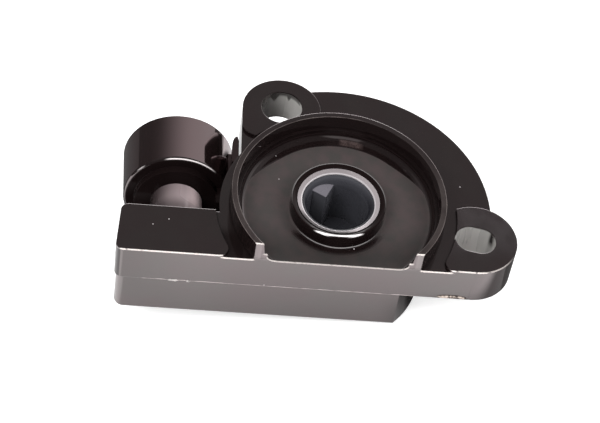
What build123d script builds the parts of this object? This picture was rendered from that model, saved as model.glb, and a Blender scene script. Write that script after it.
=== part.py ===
from build123d import *
import os
from math import asin, cos, degrees, radians, sin, tan

# Throttle position sensor, in millimetres.
# The rotor turns about Z. The three seats that meet the throttle body lie in the plane z = 0, and +Z points
# at the throttle body. The flat side faces -Y and the connector opens towards +Y.

# Levels of the two mouldings
pad_rise = 0.5
plate_thick = 6.2
collar_high = 3.95
boss_high = 2.7
case_deep = 7.75
plate_z = -pad_rise
seam_z = plate_z - plate_thick
case_bottom_z = seam_z - case_deep
collar_z = plate_z + collar_high
boss_z = plate_z + boss_high

# Outline of the plate
front_y = 10.5
flange_r = 23.15
flange_x = 0.55
flange_y = 1.05
left_r = 17.8
hole_circle_r = 21.45
hole_angle = 113.4
slot_angle = -11.2
hole_d = 6.4
slot_long = 6.2
slot_wide = 4.8
ear_r = 6.15
ear_in = 0.45
hole_x = hole_circle_r * cos(radians(hole_angle))
hole_y = hole_circle_r * sin(radians(hole_angle))
ear_y = hole_y - ear_in
slot_x = hole_circle_r * cos(radians(slot_angle))
slot_y = hole_circle_r * sin(radians(slot_angle))
slot_ear_r = front_y + slot_y
tab_x = 32.95
tab_back_y = -1.8
tab_slant = 0.55
tab_corner = 1.2
pad_r = 18.4
pad_corner = 1.5
pad_leg = 5.7
pad_leg_corner = 2.4
edge_break = 0.2
hole_lead = 0.8

# Collar and boss
collar_r = 16.25
collar_rim = 0.85
ledge_high = 1.5
ledge_wide = 0.35
ledge_round = 1.1
boss_r = 7.2
boss_edge = 0.15
boss_foot = 0.3
bush_r = 6.25
lip_deep = 0.4
lip_bow = 0.4

# Walls and cores of the plate
wall = 1.8
chamber_r = 14.5
chamber_wall = 2.1
box_wall = 2.0
web_thick = 2.0
web_under_z = plate_z - web_thick
tube_end_z = -4.6
pocket_gap = 1.2
pocket_wall = 2.0
pocket_deep = 4.0
pocket_rib = 1.5
pocket_count = 4
pocket_start = 14.0
pocket_end = 86.0

# Case
case_inset = 0.25
case_corner = 1.4
case_edge = 0.4
floor_thick = 1.8
floor_z = case_bottom_z + floor_thick
shelf = 1.2
box_shelf = 0.35

# Connector: a neck that rises a little, then a stepped shoulder and a round shroud that point down
conn_x = -23.95
conn_z = -10.03
conn_pitch = 8.0
shroud_r = 8.33
shroud_long = 9.67
shroud_wall = 1.5
mouth_r = 8.65
plug_floor = 1.4
shoulder_y = 8.0
shoulder_round = 0.5
step_r = 6.63
step_long = 1.15
neck_r = 4.0
neck_z = -10.36
neck_rise = 4.0

# Brace between the shroud and the chamber, with its upright fin
brace_top_z = -7.3
brace_thick = 2.4
brace_front_y = 5.5
brace_back_y = 15.6
brace_x = -18.0
fin_thick = 1.05
fin_gap = 0.2
fin_front_y = 10.4
fin_top_z = -3.0
fin_nose = 2.0
fin_tip = 0.25

# Bush, seal and rotor
bush_long = 5.45
bush_wall = 0.75
bush_top_z = 1.95
bush_funnel = 0.4
running_gap = 0.06
hub_r = bush_r - bush_wall - running_gap
hub_top_z = 1.45
bell_z = -0.1
socket_r = 4.6
socket_floor_z = -7.7
socket_wall = 0.8
tang_corner_x = -1.6
tang_corner_y = 2.2
tang_angle = 64.0
tang_top_z = -0.1
tang_fall = 9.0
tang_root = 0.3
seal_gap = 0.015
seal_edge = 0.12
shoulder_gap = 0.2
rotor_shoulder_r = 6.0
flange_top_z = -6.0
flange_thick = 1.2
rotor_flange_r = 8.3
lower_hub_r = 3.8
pivot_r = 2.4
pivot_end_gap = 0.25
washer_thick = 0.4
washer_r = 3.9
post_r = 4.2
post_top_z = -11.2

# Travel and its stops
travel = 105.0
lug_angle = 36.0
lug_half = 9.0
lug_r = 10.6
lug_top_z = -4.9
stop_gap = 2.0
stop_half = 5.0
stop_r = 9.2

# Return spring
wire_d = 0.6
spring_r = 7.9
spring_turns = 3
spring_pitch = 0.72
spring_top_gap = 0.15
leg_out_r = 10.6
leg_gap = 0.05
anchor_wide = 1.4

# Board, tracks and terminals
terminal_thick = 0.8
terminal_wide = 1.2
terminal_pitch = 2.2
terminal_reach = 16.0
terminal_point = 0.35
film = 0.1
board_thick = 1.0
board_gap = 0.2
board_hole_r = 4.4
board_edge = 0.8
lane_first_y = -4.85
lane_pitch = 1.4
lane_wide = 0.6
lane_pad_r = 0.72
terminal_beyond = 0.65
rivet_r = 0.35
rivet_head_r = 0.6
rivet_head = 0.25
collector_track_r = 6.25
resistive_track_r = 7.6
outer_lead_r = 9.1
track_wide = 1.1
track_start = 75.0
collector_end = 262.0
lead_bridge = 5.0

# Wiper
wiper_angle = 98.0
wiper_thick = 0.3
wiper_base = 26.0
wiper_base_in = 5.7
finger_wide = 0.45
finger_split = 0.15
finger_run = 3.2
finger_gap = 0.06
finger_tip = 0.35
stake_r = 0.45
stake_head = 0.35

# Levels and places that follow from the values above
ledge_r = collar_r - collar_rim - edge_break - ledge_wide
core_r = chamber_r - chamber_wall
board_r = core_r - board_edge
lip_wide = boss_r - boss_edge - bush_r
conn_fall = tan(radians(conn_pitch))
lead_z = conn_z + (shoulder_y - tab_back_y) * conn_fall
conn_way = (0, cos(radians(conn_pitch)), -sin(radians(conn_pitch)))
conn_up = (0, sin(radians(conn_pitch)), cos(radians(conn_pitch)))
neck_way = (0, cos(radians(neck_rise)), sin(radians(neck_rise)))
terminal_z = lead_z - terminal_thick / 2
board_top_z = terminal_z - film
board_under_z = board_top_z - board_thick
flange_under_z = flange_top_z - flange_thick
lower_hub_z = post_top_z + washer_thick
core_front_y = front_y - wall
box_back_y = tab_back_y - box_wall
box_left_x = -tab_x + wall + tab_slant
fin_right_x = hole_x - ear_r - fin_gap
coil_high = spring_turns * spring_pitch
coil_top_z = web_under_z - spring_top_gap - wire_d / 2
lug_in_r = spring_r + wire_d
leg_turn = degrees((wire_d / 2 + leg_gap) / lug_in_r)
leg_angle = lug_angle + lug_half + leg_turn
far = 100.0
quarter = 90.0
terminal_names = ("signal", "ground", "supply")

os.makedirs("parts", exist_ok=True)


def at(radius, angle):
    """Point at a radius and an angle in degrees about the rotor's axis."""
    return (radius * cos(radians(angle)), radius * sin(radians(angle)))


def front_cut(y):
    """Takes away what lies in front of the plane at -y in the open sketch."""
    with Locations((0, -y)):
        Rectangle(2 * far, far, align=(Align.CENTER, Align.MAX), mode=Mode.SUBTRACT)


def sector(inner, outer, start, end):
    """Ring sector about the rotor's axis, between two angles in degrees, in the open sketch."""
    middle = (start + end) / 2
    make_face([
        Edge.make_three_point_arc(at(outer, start), at(outer, middle), at(outer, end)),
        Edge.make_line(at(outer, end), at(inner, end)),
        Edge.make_three_point_arc(at(inner, end), at(inner, middle), at(inner, start)),
        Edge.make_line(at(inner, start), at(outer, start)),
    ])


def bent_strip(start_y):
    """Side view of a terminal in the open sketch: level to the rear wall, then along the connector."""
    half = terminal_thick / 2
    mitre = half * tan(radians(conn_pitch / 2))
    tip_y = tab_back_y + terminal_reach * conn_way[1]
    tip_z = lead_z + terminal_reach * conn_way[2]
    corners = [
        (start_y, lead_z - half),
        (tab_back_y - mitre, lead_z - half),
        (tip_y - half * conn_up[1], tip_z - half * conn_up[2]),
        (tip_y + half * conn_up[1], tip_z + half * conn_up[2]),
        (tab_back_y + mitre, lead_z + half),
        (start_y, lead_z + half),
    ]
    make_face([Edge.make_line(a, b) for a, b in zip(corners, corners[1:] + corners[:1])])


# Places of the terminals' rivets on the board, one lane each
terminal_places = []
for index in range(len(terminal_names)):
    lane_y = lane_first_y - (len(terminal_names) - 1 - index) * lane_pitch
    terminal_places.append((conn_x + (index - 1) * terminal_pitch, lane_y))

# Tab outline, shared by the plate and its seat
with BuildSketch() as tab_shape:
    with BuildLine():
        Polyline(
            (-tab_x, -front_y),
            (-tab_x + tab_slant, tab_back_y),
            (-collar_r, tab_back_y),
            (-collar_r, -front_y),
            close=True,
        )
    make_face()
    fillet(tab_shape.vertices().group_by(Axis.X)[0] + tab_shape.vertices().group_by(Axis.X)[1], tab_corner)

# Seat outlines: each ends in an arc around the collar and has rounded inner corners
with BuildSketch() as hole_pad:
    with Locations((hole_x, ear_y)):
        Circle(ear_r)
        Rectangle(ear_r, pad_leg, align=(Align.MAX, Align.MAX))
    fillet(hole_pad.vertices().sort_by(Axis.Y)[:1], pad_leg_corner)
    Circle(pad_r, mode=Mode.SUBTRACT)

with BuildSketch() as slot_pad:
    with Locations((slot_x, -front_y)):
        Rectangle(slot_ear_r, slot_ear_r, align=(Align.MAX, Align.MIN))
    with Locations((slot_x, slot_y)):
        Circle(slot_ear_r)
    Circle(pad_r, mode=Mode.SUBTRACT)
    fillet(slot_pad.vertices().group_by(Axis.Y)[0].sort_by(Axis.X)[:1], pad_corner)

with BuildSketch() as tab_pad:
    add(tab_shape.sketch)
    Circle(pad_r, mode=Mode.SUBTRACT)
    fillet(tab_pad.vertices().sort_by(Axis.X)[-2:], pad_corner)

# Mounting plate: outline, seats, collar and boss
with BuildPart() as mounting_plate:
    with BuildSketch(Plane.XY.offset(seam_z)):
        with Locations((flange_x, flange_y)):
            Circle(flange_r)
        with Locations((hole_x - ear_r, 0)):
            Rectangle(far, 2 * far, align=(Align.MAX, Align.CENTER), mode=Mode.SUBTRACT)
        with Locations((hole_x - ear_r, 0)):
            Rectangle(ear_r, ear_y, align=(Align.MIN, Align.MIN))
        Circle(left_r)
        with Locations((hole_x, ear_y)):
            Circle(ear_r)
        with Locations((slot_x, slot_y)):
            Circle(slot_ear_r)
        add(tab_shape.sketch)
        with Locations((-collar_r, -front_y)):
            Rectangle(collar_r, front_y, align=(Align.MIN, Align.MIN))
        front_cut(front_y)
    extrude(amount=plate_thick)
    with BuildSketch(Plane.XY.offset(plate_z)):
        add(hole_pad.sketch)
        add(slot_pad.sketch)
        add(tab_pad.sketch)
    extrude(amount=pad_rise)
    # collar with its inner ledge, which runs into the floor in a round
    with BuildSketch(Plane.XZ):
        with BuildLine():
            Polyline(
                (ledge_r - ledge_round, plate_z),
                (collar_r, plate_z),
                (collar_r, collar_z),
                (collar_r - collar_rim, collar_z),
                (ledge_r + ledge_wide, plate_z + ledge_high),
                (ledge_r, plate_z + ledge_high),
                (ledge_r, plate_z + ledge_round),
            )
            CenterArc((ledge_r - ledge_round, plate_z + ledge_round), ledge_round, 0, -90)
        make_face()
    revolve(axis=Axis.Z)
    # bearing boss with a rounded foot and edge
    with BuildSketch(Plane.XZ):
        with BuildLine():
            Polyline((0, boss_z), (0, plate_z), (boss_r + boss_foot, plate_z))
            CenterArc((boss_r + boss_foot, plate_z + boss_foot), boss_foot, 270, -90)
            Line((boss_r, plate_z + boss_foot), (boss_r, boss_z - boss_edge))
            CenterArc((boss_r - boss_edge, boss_z - boss_edge), boss_edge, 0, 90)
            Line((boss_r - boss_edge, boss_z), (0, boss_z))
        make_face()
    revolve(axis=Axis.Z)
    # the flat front cuts the collar open
    with BuildSketch(Plane.XY.offset(plate_z)):
        with Locations((0, -front_y)):
            Rectangle(2 * far, far, align=(Align.CENTER, Align.MAX))
    extrude(amount=2 * collar_high, mode=Mode.SUBTRACT)
    # cores of the underside, with the boss left standing as a tube
    with BuildSketch(Plane.XY.offset(seam_z)):
        Circle(core_r)
        front_cut(core_front_y)
        Circle(boss_r, mode=Mode.SUBTRACT)
    extrude(amount=web_under_z - seam_z, mode=Mode.SUBTRACT)
    with BuildSketch(Plane.XY.offset(seam_z)):
        Circle(boss_r)
    extrude(amount=tube_end_z - seam_z, mode=Mode.SUBTRACT)
    with BuildSketch(Plane.XY.offset(seam_z)):
        with Locations((box_left_x, -core_front_y)):
            Rectangle(-left_r - wall - box_left_x, box_back_y + core_front_y, align=(Align.MIN, Align.MIN))
    extrude(amount=web_under_z - seam_z, mode=Mode.SUBTRACT)
    # pockets under the flange, with ribs left between them
    pocket_step = (pocket_end - pocket_start) / pocket_count
    rib_angle = degrees(pocket_rib / flange_r)
    with BuildSketch(Plane.XY.offset(seam_z)):
        for index in range(pocket_count):
            start = pocket_start + index * pocket_step
            end = start + pocket_step
            sector(chamber_r + pocket_gap, flange_r - pocket_wall, start + rib_angle / 2, end - rib_angle / 2)
        with Locations((slot_x, slot_y)):
            Circle(slot_ear_r, mode=Mode.SUBTRACT)
    extrude(amount=pocket_deep, mode=Mode.SUBTRACT)
    # bore of the boss, with a rounded lip at its mouth
    with BuildSketch(Plane.XY.offset(seam_z)):
        Circle(bush_r)
    extrude(amount=boss_z - seam_z, mode=Mode.SUBTRACT)
    with BuildSketch(Plane.XZ):
        with BuildLine():
            Polyline((bush_r + lip_wide, boss_z), (bush_r, boss_z), (bush_r, boss_z - lip_deep))
            ThreePointArc(
                (bush_r, boss_z - lip_deep),
                (bush_r + lip_bow * lip_wide, boss_z - lip_bow * lip_deep),
                (bush_r + lip_wide, boss_z),
            )
        make_face()
    revolve(axis=Axis.Z, mode=Mode.SUBTRACT)
    # screw hole with a lead-in below, and screw slot
    with BuildSketch(Plane.XY.offset(seam_z)):
        with Locations((hole_x, hole_y)):
            Circle(hole_d / 2)
        with Locations(Location((slot_x, slot_y, 0), slot_angle)):
            SlotOverall(slot_long, slot_wide)
    extrude(amount=-seam_z, mode=Mode.SUBTRACT)
    chamfer(mounting_plate.edges().filter_by(GeomType.CIRCLE).filter_by(
        lambda edge: abs(edge.radius - hole_d / 2) < edge_break).sort_by(Axis.Z)[:1], hole_lead)
    # stops for the rotor's lug, at both ends of its travel
    stop_low = lug_angle - lug_half - stop_gap
    stop_high = lug_angle + travel + lug_half + stop_gap
    with BuildSketch(Plane.XY.offset(seam_z)):
        sector(stop_r, core_r + wall / 2, stop_low - 2 * stop_half, stop_low)
        sector(stop_r, core_r + wall / 2, stop_high, stop_high + 2 * stop_half)
    extrude(amount=web_under_z - seam_z)
    # anchor for the spring's upper leg
    anchor_angle = leg_angle + leg_turn
    with BuildSketch(Plane.XY.offset(coil_top_z - wire_d)):
        sector(lug_in_r, core_r + wall / 2, anchor_angle, anchor_angle + degrees(anchor_wide / lug_in_r))
    extrude(amount=web_under_z - coil_top_z + wire_d)
mounting_plate.part.label = "mounting_plate"
export_step(mounting_plate.part, "parts/mounting_plate.step")

# Sensor case: chamber, box, neck and shroud
with BuildPart() as sensor_case:
    with BuildSketch(Plane.XY.offset(case_bottom_z)) as case_outline:
        with BuildLine():
            Polyline(
                (-tab_x + case_inset, -front_y + case_inset),
                (-tab_x + case_inset + tab_slant, tab_back_y),
                (0, tab_back_y),
                (0, -front_y + case_inset),
                close=True,
            )
        make_face()
        case_corners = case_outline.vertices().group_by(Axis.X)
        fillet(case_corners[0] + case_corners[1], case_corner)
        Circle(chamber_r)
        front_cut(front_y - case_inset)
    extrude(amount=case_deep)
    fillet(sensor_case.faces().sort_by(Axis.Z)[0].edges(), case_edge)
    # brace and fin
    with BuildSketch(Plane.XY.offset(brace_top_z)):
        with Locations((brace_x, brace_front_y)):
            Rectangle(-brace_x, brace_back_y - brace_front_y, align=(Align.MIN, Align.MIN))
        with Locations((fin_right_x, brace_front_y)):
            Rectangle(far, far, align=(Align.MIN, Align.MIN), mode=Mode.SUBTRACT)
        with Locations((fin_right_x, brace_front_y)):
            Rectangle(fin_right_x * -1, brace_back_y - brace_front_y - ear_r, align=(Align.MIN, Align.MIN))
    extrude(amount=-brace_thick)
    with BuildSketch(Plane.XY.offset(brace_top_z)):
        with BuildLine():
            Polyline(
                (fin_right_x - fin_thick, brace_back_y - fin_nose),
                (fin_right_x - fin_thick, fin_front_y),
                (fin_right_x, fin_front_y),
                (fin_right_x, brace_back_y - fin_nose / 2),
                (fin_right_x - fin_tip, brace_back_y),
            )
            fin_heart = (fin_right_x - fin_tip, brace_back_y - fin_nose)
            fin_side = fin_thick - fin_tip
            EllipticalCenterArc(fin_heart, fin_side, fin_nose, start_angle=quarter, arc_size=quarter)
        make_face()
    extrude(amount=fin_top_z - brace_top_z)
    # neck, which starts inside the rear wall and ends inside the step
    with BuildSketch(Plane((conn_x, tab_back_y - box_wall / 2, neck_z), x_dir=(1, 0, 0), z_dir=neck_way)):
        Circle(neck_r)
    extrude(amount=shoulder_y - tab_back_y + box_wall / 2)
    with BuildSketch(Plane.XY.offset(seam_z)):
        with Locations((0, tab_back_y)):
            Rectangle(2 * far, far, align=(Align.CENTER, Align.MAX))
    extrude(amount=plate_thick, mode=Mode.SUBTRACT)
    # step and shroud, turned about the connector's axis
    with BuildSketch(Plane((conn_x, shoulder_y, conn_z), x_dir=(1, 0, 0), z_dir=conn_up)):
        with BuildLine():
            Polyline(
                (shroud_r - shoulder_round, 0),
                (step_r, 0),
                (step_r, -step_long),
                (0, -step_long),
                (0, shroud_long),
                (mouth_r, shroud_long),
                (shroud_r, shoulder_round),
            )
            CenterArc((shroud_r - shoulder_round, shoulder_round), shoulder_round, 0, -90)
        make_face()
    revolve(axis=Axis((conn_x, shoulder_y, conn_z), conn_way))
    with BuildSketch(Plane((conn_x, shoulder_y, conn_z), x_dir=(1, 0, 0), z_dir=conn_way).offset(plug_floor)):
        Circle(shroud_r - shroud_wall)
    extrude(amount=shroud_long - plug_floor, mode=Mode.SUBTRACT)
    # cavity with a shelf for the board, and a deeper floor inside the shelf
    with BuildSketch(Plane.XY.offset(board_under_z)):
        Circle(core_r)
        front_cut(core_front_y)
        with Locations((box_left_x, -core_front_y)):
            Rectangle(-box_left_x, box_back_y + core_front_y, align=(Align.MIN, Align.MIN))
    extrude(amount=seam_z - board_under_z, mode=Mode.SUBTRACT)
    with BuildSketch(Plane.XY.offset(floor_z)):
        Circle(core_r - shelf)
        front_cut(core_front_y - shelf)
        with Locations((box_left_x + shelf, -core_front_y + box_shelf)):
            well_wide = box_back_y + core_front_y - 2 * box_shelf
            Rectangle(-box_left_x - shelf, well_wide, align=(Align.MIN, Align.MIN))
    extrude(amount=board_under_z - floor_z, mode=Mode.SUBTRACT)
    # pivot post for the rotor's lower end
    with BuildSketch(Plane.XY.offset(floor_z)):
        Circle(post_r)
        Circle(pivot_r + running_gap, mode=Mode.SUBTRACT)
    extrude(amount=post_top_z - floor_z)
    # ways for the three terminals, which the neck is moulded around
    for place in terminal_places:
        with BuildSketch(Plane((place[0] - terminal_wide / 2, 0, 0), x_dir=(0, 1, 0), z_dir=(1, 0, 0))):
            bent_strip(place[1])
        extrude(amount=terminal_wide, mode=Mode.SUBTRACT)
sensor_case.part.label = "sensor_case"
export_step(sensor_case.part, "parts/sensor_case.step")

# Bearing bush: steel sleeve with a funnelled mouth
with BuildPart() as bearing_bush:
    with BuildSketch(Plane.XZ):
        with BuildLine():
            Polyline(
                (bush_r, bush_top_z - bush_long),
                (bush_r, bush_top_z),
                (bush_r - bush_wall, bush_top_z - bush_funnel),
                (bush_r - bush_wall, bush_top_z - bush_long),
                close=True,
            )
        make_face()
    revolve(axis=Axis.Z)
bearing_bush.part.label = "bearing_bush"
export_step(bearing_bush.part, "parts/bearing_bush.step")

# Rotor seal: square-cut ring with broken edges, between the hub and the boss
seal_half = (bush_r - hub_r) / 2 - seal_gap
seal_z = bush_top_z - bush_long - seal_half - seal_gap
with BuildPart() as rotor_seal:
    with BuildSketch(Plane.XZ) as seal_section:
        with Locations(((bush_r + hub_r) / 2, seal_z)):
            Rectangle(2 * seal_half, 2 * seal_half)
        chamfer(seal_section.vertices(), seal_edge)
    revolve(axis=Axis.Z)
rotor_seal.part.label = "rotor_seal"
export_step(rotor_seal.part, "parts/rotor_seal.step")

# Stakes of the rotor that hold the wiper's base
base_angle = wiper_angle - wiper_base
stake_ring = (wiper_base_in + rotor_flange_r) / 2
stake_places = [at(stake_ring, base_angle - wiper_base / 4), at(stake_ring, base_angle + wiper_base / 4)]

# Drive tang: a square corner with a sloped top, which stands in the rotor's socket
tang_out = tang_angle + 45
tang_lean = tan(radians(tang_fall))
tang_up = (*at(tang_lean, tang_out), 1)
with BuildPart() as drive_tang:
    with BuildSketch(Plane.XY.offset(socket_floor_z)):
        Circle(socket_r + tang_root)
        with Locations(Location((tang_corner_x, tang_corner_y, 0), tang_angle)):
            Rectangle(far, far, align=(Align.MIN, Align.MIN), mode=Mode.INTERSECT)
    extrude(amount=tang_top_z - socket_floor_z)
    split(bisect_by=Plane((tang_corner_x, tang_corner_y, tang_top_z), z_dir=tang_up), keep=Keep.BOTTOM)

# Rotor: hub with the bell-mouthed drive socket, flange with the stop lug, lower hub and pivot
with BuildPart() as rotor:
    with BuildSketch(Plane.XZ):
        with BuildLine():
            Polyline(
                (socket_r, bell_z),
                (socket_r, socket_floor_z),
                (0, socket_floor_z),
                (0, floor_z + pivot_end_gap),
                (pivot_r, floor_z + pivot_end_gap),
                (pivot_r, lower_hub_z),
                (lower_hub_r, lower_hub_z),
                (lower_hub_r, socket_floor_z - socket_wall),
                (socket_r + socket_wall, socket_floor_z - socket_wall),
                (socket_r + socket_wall, flange_under_z),
                (rotor_flange_r, flange_under_z),
                (rotor_flange_r, flange_top_z),
                (rotor_shoulder_r, flange_top_z),
                (rotor_shoulder_r, tube_end_z - shoulder_gap),
                (hub_r, tube_end_z - shoulder_gap),
                (hub_r, hub_top_z),
            )
            bell_heart = (hub_r, bell_z)
            bell_wide = hub_r - socket_r
            bell_deep = hub_top_z - bell_z
            EllipticalCenterArc(bell_heart, bell_wide, bell_deep, start_angle=quarter, arc_size=quarter)
        make_face()
    revolve(axis=Axis.Z)
    add(drive_tang.part)
    # lug that meets the stops and takes the spring's lower leg
    with BuildSketch(Plane.XY.offset(flange_under_z)):
        sector(rotor_flange_r - wall, lug_r, lug_angle - lug_half, lug_angle + lug_half)
    extrude(amount=flange_thick)
    with BuildSketch(Plane.XY.offset(flange_top_z)):
        sector(lug_in_r, lug_r, lug_angle - lug_half, lug_angle + lug_half)
    extrude(amount=lug_top_z - flange_top_z)
    # stakes that hold the wiper
    with BuildSketch(Plane.XY.offset(flange_under_z)):
        with Locations(*stake_places):
            Circle(stake_r)
    extrude(amount=-wiper_thick - stake_head)
rotor.part.label = "rotor"
export_step(rotor.part, "parts/rotor.step")

# Thrust washer on the pivot post
with BuildPart() as thrust_washer:
    with BuildSketch(Plane.XY.offset(post_top_z)):
        Circle(washer_r)
        Circle(pivot_r + running_gap, mode=Mode.SUBTRACT)
    extrude(amount=washer_thick - running_gap)
thrust_washer.part.label = "thrust_washer"
export_step(thrust_washer.part, "parts/thrust_washer.step")

# Return spring: coil of square wire about the boss tube, with one leg at the plate and one at the rotor's lug
with BuildPart() as return_spring:
    with BuildLine(Plane((0, 0, coil_top_z - coil_high))) as coil:
        Helix(spring_pitch, coil_high, spring_r)
    with BuildSketch(Plane(coil.line @ 0, x_dir=(1, 0, 0), z_dir=coil.line % 0)):
        Rectangle(wire_d, wire_d)
    sweep(is_frenet=True)
    for height in (coil_top_z - coil_high, coil_top_z):
        with BuildSketch(Plane((spring_r - wire_d / 4, 0, height), x_dir=(0, 1, 0), z_dir=(1, 0, 0))):
            Rectangle(wire_d, wire_d)
        extrude(amount=leg_out_r - spring_r)
return_spring.part = return_spring.part.rotate(Axis.Z, leg_angle)
return_spring.part.label = "return_spring"
export_step(return_spring.part, "parts/return_spring.step")

# Resistor board: disc in the chamber with a tongue into the box
with BuildPart() as resistor_board:
    with BuildSketch(Plane.XY.offset(board_under_z)):
        Circle(board_r)
        front_cut(core_front_y - board_gap)
        with Locations((box_left_x + board_gap, -core_front_y + board_gap)):
            tongue_wide = box_back_y + core_front_y - 2 * board_gap
            Rectangle(-box_left_x - board_gap, tongue_wide, align=(Align.MIN, Align.MIN))
        Circle(board_hole_r, mode=Mode.SUBTRACT)
        with Locations(*terminal_places):
            Circle(rivet_r, mode=Mode.SUBTRACT)
    extrude(amount=board_thick)
resistor_board.part.label = "resistor_board"
export_step(resistor_board.part, "parts/resistor_board.step")


def lane(start_x, place):
    """Printed lead along X from a track to a terminal's pad, in the open sketch."""
    with Locations((place[0], place[1])):
        Rectangle(start_x - place[0], lane_wide, align=(Align.MIN, Align.CENTER))
        Circle(lane_pad_r)


# Printed films on the board: the carbon track, its two leads, and the collector with its own lead
signal_place, ground_place, supply_place = terminal_places
track_in_r = resistive_track_r - track_wide / 2
track_out_r = resistive_track_r + track_wide / 2
track_end = 180 + degrees(asin((lane_wide / 2 - ground_place[1]) / track_out_r))
with BuildPart() as resistive_track:
    with BuildSketch(Plane.XY.offset(board_top_z)):
        sector(track_in_r, track_out_r, track_start, track_end)
    extrude(amount=film)
resistive_track.part.label = "resistive_track"
export_step(resistive_track.part, "parts/resistive_track.step")

supply_end = 180 + degrees(asin(-supply_place[1] / outer_lead_r))
with BuildPart() as supply_lead:
    with BuildSketch(Plane.XY.offset(board_top_z)):
        sector(outer_lead_r - lane_wide / 2, outer_lead_r + lane_wide / 2, track_start, supply_end)
        sector(track_out_r, outer_lead_r, track_start, track_start + lead_bridge)
        lane(at(outer_lead_r, supply_end)[0], supply_place)
        with Locations(supply_place):
            Circle(rivet_r, mode=Mode.SUBTRACT)
    extrude(amount=film)
supply_lead.part.label = "supply_lead"
export_step(supply_lead.part, "parts/supply_lead.step")

with BuildPart() as ground_lead:
    with BuildSketch(Plane.XY.offset(board_top_z)):
        lane(at(track_in_r, track_end)[0], ground_place)
        Circle(track_out_r, mode=Mode.SUBTRACT)
        with Locations(ground_place):
            Circle(rivet_r, mode=Mode.SUBTRACT)
    extrude(amount=film)
ground_lead.part.label = "ground_lead"
export_step(ground_lead.part, "parts/ground_lead.step")

with BuildPart() as collector_track:
    with BuildSketch(Plane.XY.offset(board_top_z)):
        half = track_wide / 2
        sector(collector_track_r - half, collector_track_r + half, track_start, collector_end)
        foot = at(collector_track_r, collector_end)
        with Locations((foot[0], signal_place[1] - lane_wide / 2)):
            Rectangle(lane_wide, foot[1] - signal_place[1], align=(Align.CENTER, Align.MIN))
        lane(foot[0], signal_place)
        with Locations(signal_place):
            Circle(rivet_r, mode=Mode.SUBTRACT)
    extrude(amount=film)
collector_track.part.label = "collector_track"
export_step(collector_track.part, "parts/collector_track.step")

# Terminals and the rivets that join each to its track and the board
for name, place in zip(terminal_names, terminal_places):
    with BuildPart() as terminal:
        with BuildSketch(Plane((place[0] - terminal_wide / 2, 0, 0), x_dir=(0, 1, 0), z_dir=(1, 0, 0))):
            bent_strip(place[1] - terminal_beyond)
        extrude(amount=terminal_wide)
        chamfer(terminal.faces().sort_by(Axis.Y)[-1].edges(), terminal_point)
        with BuildSketch(Plane.XY.offset(terminal_z)):
            with Locations(place):
                Circle(rivet_r)
        extrude(amount=terminal_thick, mode=Mode.SUBTRACT)
    terminal.part.label = "terminal_" + name
    export_step(terminal.part, "parts/terminal_" + name + ".step")

    with BuildPart() as rivet:
        with BuildSketch(Plane.XY.offset(board_under_z)):
            with Locations(place):
                Circle(rivet_r)
        extrude(amount=terminal_z + terminal_thick - board_under_z)
        with BuildSketch(Plane.XY.offset(terminal_z + terminal_thick)):
            with Locations(place):
                Circle(rivet_head_r)
        extrude(amount=rivet_head)
        with BuildSketch(Plane.XY.offset(board_under_z)):
            with Locations(place):
                Circle(rivet_head_r)
        extrude(amount=-rivet_head)
    rivet.part.label = "rivet_" + name
    export_step(rivet.part, "parts/rivet_" + name + ".step")

# Wiper: stamped base staked under the flange, with split fingers on both tracks
track_top_z = board_top_z + film
with BuildPart() as wiper_contact:
    with BuildSketch(Plane.XY.offset(flange_under_z - wiper_thick)):
        base_start = base_angle - wiper_base / 2
        sector(wiper_base_in, rotor_flange_r - finger_split, base_start, base_start + wiper_base)
        with Locations(*stake_places):
            Circle(stake_r, mode=Mode.SUBTRACT)
    extrude(amount=wiper_thick)
    drop_z = track_top_z + finger_gap
    root_angle = base_angle + wiper_base / 2
    for track_r in (collector_track_r, resistive_track_r):
        for side in (-1, 1):
            finger_r = track_r + side * (finger_wide + finger_split) / 2
            lean = degrees(asin(finger_run / (2 * finger_r)))
            along = Vector(*at(1, root_angle + lean + 90))
            across = Vector(*at(1, root_angle + lean))
            origin = Vector(*at(finger_r, root_angle)) - across * finger_wide / 2 - along * wiper_thick
            with BuildSketch(Plane(origin, x_dir=along, z_dir=across)):
                with BuildLine():
                    Polyline(
                        (0, flange_under_z),
                        (0, flange_under_z - wiper_thick),
                        (finger_run - finger_tip, drop_z),
                        (finger_run, drop_z),
                        (finger_run, drop_z + wiper_thick),
                        (wiper_thick, flange_under_z),
                        close=True,
                    )
                make_face()
            extrude(amount=finger_wide)
wiper_contact.part.label = "wiper_contact"
export_step(wiper_contact.part, "parts/wiper_contact.step")
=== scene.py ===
import bpy
from math import cos, radians, sin
from mathutils import Matrix, Vector


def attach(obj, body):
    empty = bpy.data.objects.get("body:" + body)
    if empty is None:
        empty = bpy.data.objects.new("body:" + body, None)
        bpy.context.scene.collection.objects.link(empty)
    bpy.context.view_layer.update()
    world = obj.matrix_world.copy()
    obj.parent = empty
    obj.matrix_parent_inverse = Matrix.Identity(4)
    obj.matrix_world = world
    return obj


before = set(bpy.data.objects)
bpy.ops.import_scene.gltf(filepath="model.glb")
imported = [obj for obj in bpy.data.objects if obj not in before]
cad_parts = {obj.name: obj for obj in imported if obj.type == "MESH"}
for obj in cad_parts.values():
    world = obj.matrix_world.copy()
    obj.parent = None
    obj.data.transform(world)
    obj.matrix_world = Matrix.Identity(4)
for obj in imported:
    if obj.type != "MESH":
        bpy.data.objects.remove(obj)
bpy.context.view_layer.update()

# One millimetre in Blender's metres; lengths are in millimetres where nothing else is said
MM = 0.001

# Levels of a smooth step that goes up or down, usual limits for a noise, and samples of the shading nodes
UP = (0.0, 1.0)
DOWN = (1.0, 0.0)
MIDDLE = (0.3, 0.7)
SHADER_SAMPLES = 8

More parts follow.
